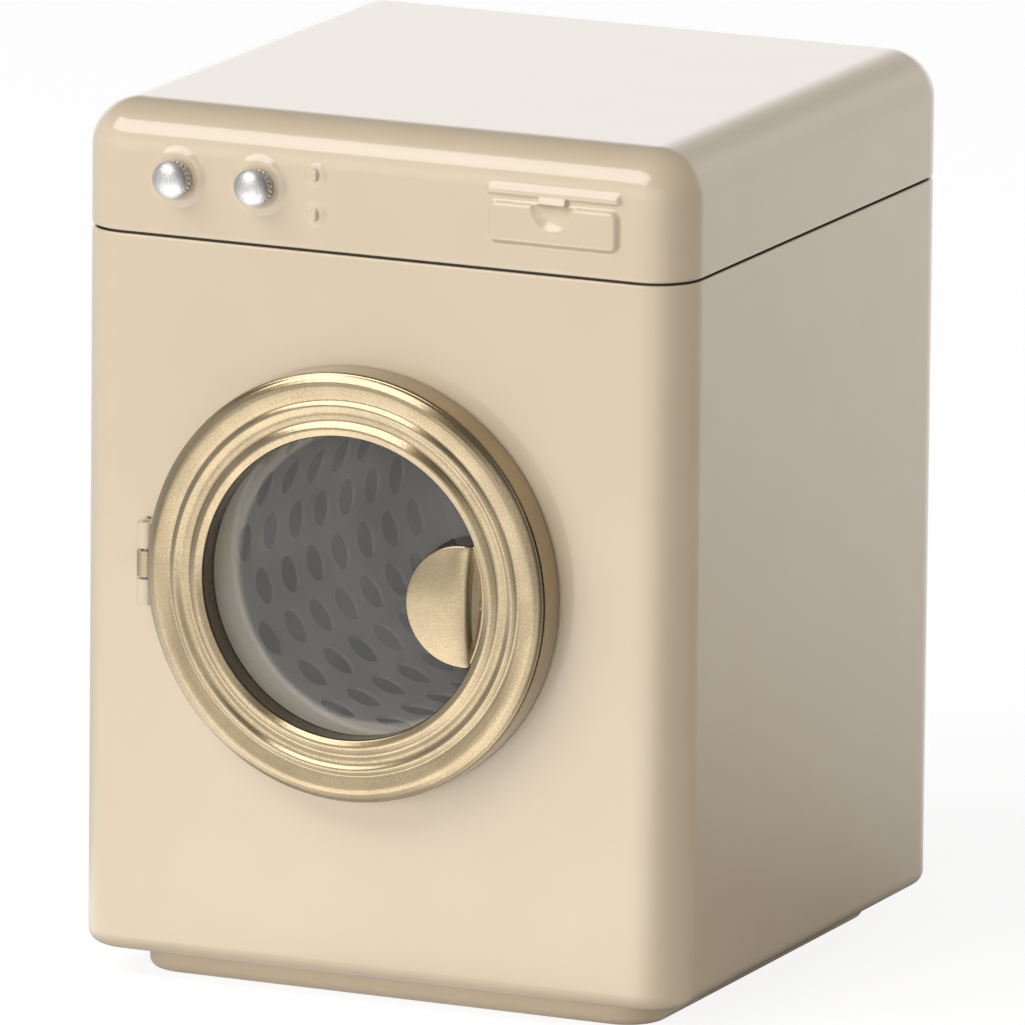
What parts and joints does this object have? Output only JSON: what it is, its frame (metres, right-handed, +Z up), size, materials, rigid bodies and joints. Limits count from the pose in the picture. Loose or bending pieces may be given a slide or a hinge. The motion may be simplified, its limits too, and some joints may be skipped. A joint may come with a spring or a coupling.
{
  "type": "toy washing machine",
  "caption": "Doll's house front-loading washing machine in enamelled tinplate, with a round hinged door, a perforated turning drum, turning knobs and a slip-on lid.",
  "frame": {"origin": "middle of the flat underside of the foot, on the floor, under the middle of the cabinet", "axes": "+Z up, the front with the door faces -Y, +X is to the right of someone who looks at the front"},
  "size_m": [0.0666, 0.0715, 0.09],
  "materials": {
    "enamel": "glossy cream enamel on tinplate",
    "enamel_inside": "thin cream enamel on tinplate, less glossy",
    "satin_gold": "satin gold lacquer with a fine grain",
    "drum_metal": "grey satin metal lacquer",
    "knob_silver": "polished nickel with fine scratches",
    "steel": "bright zinc-plated steel",
    "brass": "turned brass",
    "window": "clear, slightly smoky moulded plastic"
  },
  "bodies": {
    "cabinet": {"cabinet_shell": "enamel", "base_pan": "enamel", "lid_neck": "enamel_inside", "mouth_collar": "enamel_inside", "hinge_bracket": "enamel", "hinge_pin": "steel", "bearing_plate": "steel", "bearing_rivets": "steel", "drum_bush": "brass"},
    "door": {"door_ring": "satin_gold", "door_window": "window", "door_back_ring": "satin_gold", "door_handle": "satin_gold", "handle_rivet": "satin_gold", "door_hinge_leaf": "satin_gold", "hinge_rivets": "satin_gold"},
    "drum": {"drum_shell": "drum_metal", "drum_front_rim": "drum_metal", "drum_back": "drum_metal", "drum_axle": "steel", "axle_retainer": "steel"},
    "lid": {"lid_shell": "enamel"},
    "knob_left": {"knob_left": "knob_silver", "knob_left_washer": "steel"},
    "knob_right": {"knob_right": "knob_silver", "knob_right_washer": "steel"}
  },
  "joints": [
    {"name": "door_swing", "type": "hinge", "parent": "cabinet", "child": "door", "pos_m": [-0.02415, -0.03525, 0.0439], "axis": [0, 0, -1], "range_deg": [0, 130]},
    {"name": "drum_spin", "type": "hinge", "parent": "cabinet", "child": "drum", "pos_m": [-0.0015, 0, 0.0439], "axis": [0, 1, 0], "continuous": true},
    {"name": "lid_lift", "type": "slide", "parent": "cabinet", "child": "lid", "axis": [0, 0, 1], "range_m": [0, 0.02]},
    {"name": "knob_left_turn", "type": "hinge", "parent": "lid", "child": "knob_left", "pos_m": [-0.0219, -0.03325, 0.0831], "axis": [0, -1, 0], "continuous": true},
    {"name": "knob_right_turn", "type": "hinge", "parent": "lid", "child": "knob_right", "pos_m": [-0.0129, -0.03325, 0.0831], "axis": [0, -1, 0], "continuous": true}
  ]
}
